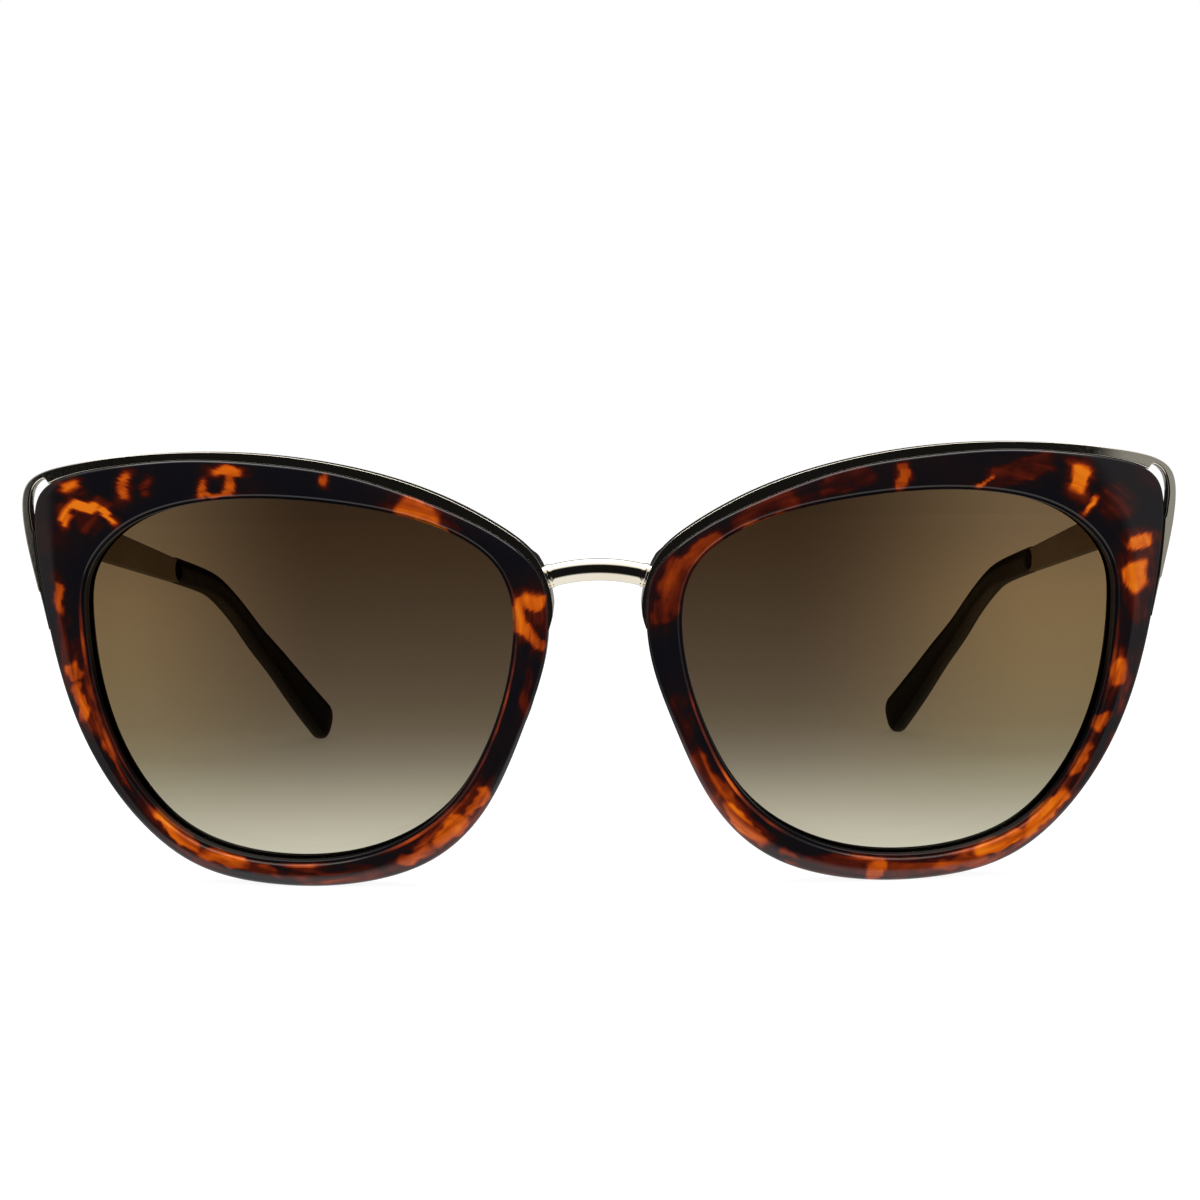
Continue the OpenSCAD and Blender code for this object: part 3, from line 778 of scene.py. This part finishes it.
def make_tip(side, name, node):
    grid = sweep(TIP_POINTS, 44, 0.75, 12, 12, (-math.sin(SPLAY), math.cos(SPLAY), 0), False, 0.22)
    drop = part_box(node)[0][2] / MM - grid[..., 2].min()
    points = np.stack([side * grid[..., 0], grid[..., 1] + SHIFT_Y, grid[..., 2] + drop], -1) * MM
    return skin(name, points, True, False, side > 0, 50)


# ---------------------------------------------------------------- build the object
put(make_bridge(), "front", ["bridge"], GOLD)
for side, word, patches in ((1, "left", LEFT_AMBER), (-1, "right", RIGHT_AMBER)):
    arm = word + "_temple_arm"
    rim = make_rim(side, word + "_rim_shell", patches)
    put(rim, "front", [word + "_rim"], TORTOISE)
    grid = trim_grid()
    band = skin(word + "_trim_band", place(side, grid[..., 0], grid[..., 2], grid[..., 1]),
                True, False, side < 0, 50)
    put(band, "front", [word + "_trim"], GOLD)
    for key, outline in (("corner", CORNER_LUG), ("nose", NOSE_LUG)):
        lug = plate(side, word + "_" + key + "_lug", outline, RIM_T, RIM_T + LUG_T, 0.9, 0.22)
        put(lug, "front", [word + "_trim"], GOLD)
    put(make_lens(side, word + "_lens_glass"), "front", [word + "_lens"], SMOKE)
    put(make_pad(side, word + "_pad"), "front", [word + "_nose_pad"], PAD)
    put(make_tip(side, word + "_tip", word + "_temple_tip"), arm, [word + "_temple_tip"],
        TIP)
    refine(word + "_temple", word + "_temple_bar", arm, ARM_GOLD, 0.35)
    refine(word + "_end_piece", word + "_end_block", "front", GOLD, 0.3)
    refine(word + "_front_hinge", word + "_front_leaf", "front", HINGE_METAL, 0.12)
    refine(word + "_rear_hinge", word + "_rear_leaf", arm, HINGE_METAL, 0.12)
    refine(word + "_hinge_screw", word + "_pivot_screw", "front", STEEL, 0.08)
    refine(word + "_rim_screws", word + "_lug_screws", "front", STEEL, 0.08)

# ---------------------------------------------------------------- floor, light and camera
scene = bpy.context.scene
scene.view_settings.view_transform = "Standard"


# The studio is a light tent. Its cloth is dark round the camera, grey beside it and grey behind
# the object, under a bright ceiling and over a bright table. The camera itself sees white.
CLOTH_DARK = 0.008
CLOTH_GREY = 0.30
CLOTH_BEHIND = 0.28
LEFT_EDGE = (math.radians(38.8), math.radians(41.4))
RIGHT_EDGE = (math.radians(45.5), math.radians(48.5))
BEHIND_EDGE = (math.radians(70), math.radians(95))
CEILING = 1.25
# Straight behind the object the cloth is darker by this share, from the end of the table to
# 12 degrees above the horizon. The share falls to nothing at 24 degrees.
DARKER_BEHIND = 0.92
# How far a ray falls when it just misses the table, which ends about 3 m away.
TABLE_END = -0.013


def tent(n, x, y):
    """How bright the cloth is in the direction x, y. The camera stands on the -Y side."""
    turn = n.math("ARCTAN2", x, n.math("MULTIPLY", y, -1.0))
    other = n.math("MULTIPLY", turn, -1.0)
    left = n.rise(turn, *LEFT_EDGE, CLOTH_DARK, CLOTH_GREY)
    right = n.rise(other, *RIGHT_EDGE, CLOTH_DARK, CLOTH_GREY)
    behind = n.rise(n.math("MAXIMUM", turn, other), *BEHIND_EDGE, 0.0, CLOTH_BEHIND)
    return n.math("MAXIMUM", n.math("MAXIMUM", left, right), behind)


white, n = material("white_sweep")
where = n.add("ShaderNodeTexCoord").outputs["Object"]
paper = n.ramp(n.noise(where, 40.0, 3.0), [(0.3, (0.87, 0.87, 0.87)), (0.7, (0.89, 0.89, 0.89))])
paint = n.add("ShaderNodeBsdfDiffuse", {"Color": paper})
glow = n.add("ShaderNodeEmission", {"Color": (1, 1, 1, 1), "Strength": 1.16})
seen = n.add("ShaderNodeMixShader", {0: 0.8, 1: paint.outputs[0], 2: glow.outputs[0]})
finish(n, seen.outputs[0])
floor = new_mesh("floor", [(-3, -3, 0), (3, -3, 0), (3, 3, 0), (-3, 3, 0)], [(0, 1, 2, 3)], False)
floor.data.materials.append(white)
# Only the camera sees the floor. Every other ray goes on to the table in the world below.
for kind in ("diffuse", "glossy", "transmission", "volume_scatter", "shadow"):
    setattr(floor, "visible_" + kind, False)

world = bpy.data.worlds.new("studio")
world.use_nodes = True
scene.world = world
world.node_tree.nodes.clear()
n = Nodes(world.node_tree)
ray = n.add("ShaderNodeTexCoord").outputs["Generated"]
ray_x, ray_y, ray_z = n.add("ShaderNodeSeparateXYZ", {"Vector": ray}).outputs
ceiling = n.rise(ray_z, 0.62, 0.80, 0.0, CEILING)
table = n.rise(n.math("MULTIPLY", ray_z, -1.0), 0.42, 0.66)
ahead = n.math("MULTIPLY", n.rise(ray_y, 0.80, 0.90), n.rise(ray_z, 0.40, 0.20))
ahead = n.math("MULTIPLY", ahead, n.math("GREATER_THAN", ray_z, TABLE_END))
shade = n.math("SUBTRACT", 1.0, n.math("MULTIPLY", ahead, DARKER_BEHIND))
cloth = n.math("MULTIPLY", tent(n, ray_x, ray_y), shade)
level = n.math("MAXIMUM", n.math("MAXIMUM", ceiling, table), cloth)
eye_ray = n.add("ShaderNodeLightPath").outputs["Is Camera Ray"]
strength = n.add("ShaderNodeMix", {0: eye_ray, 2: level, 3: 1.0}, data_type="FLOAT").outputs[0]
sky = n.add("ShaderNodeBackground", {"Color": (1, 1, 1, 1), "Strength": strength})
n.add("ShaderNodeOutputWorld", {"Surface": sky.outputs[0]})


def area_light(name, shape, size, energy, location, tilt=0.0):
    """A lamp in metres and watts that faces down, then leans by tilt degrees."""
    lamp = bpy.data.lights.new(name, "AREA")
    lamp.shape = shape
    lamp.size, lamp.size_y = size
    lamp.energy = energy
    obj = bpy.data.objects.new(name, lamp)
    obj.location = location
    obj.rotation_euler = (math.radians(tilt), 0, 0)
    scene.collection.objects.link(obj)
    return obj


area_light("overhead", "RECTANGLE", (1.1, 0.7), 7.0, (0, 0.05, 0.8))
fill = area_light("fill", "DISK", (0.9, 0.9), 6.5, (0, -1.1, 0.5), 66)
fill.visible_glossy = False

eye = Vector((2.977, -215 + SHIFT_Y, 49)) * MM
aim = Vector((0.329, SHIFT_Y, 35.9)) * MM
roll = math.radians(-0.767)
look = (aim - eye).normalized()
level_right = look.cross(Vector((0, 0, 1))).normalized()
level_up = level_right.cross(look)
right = level_right * math.cos(roll) + level_up * math.sin(roll)
up = level_up * math.cos(roll) - level_right * math.sin(roll)
camera = bpy.data.cameras.new("camera")
camera.lens = 53.04
camera.sensor_width = 36
camera.clip_start = 0.01
camera_obj = bpy.data.objects.new("camera", camera)
turn = Matrix((right, up, -look)).transposed().to_4x4()
camera_obj.matrix_world = Matrix.Translation(eye) @ turn
scene.collection.objects.link(camera_obj)
scene.camera = camera_obj
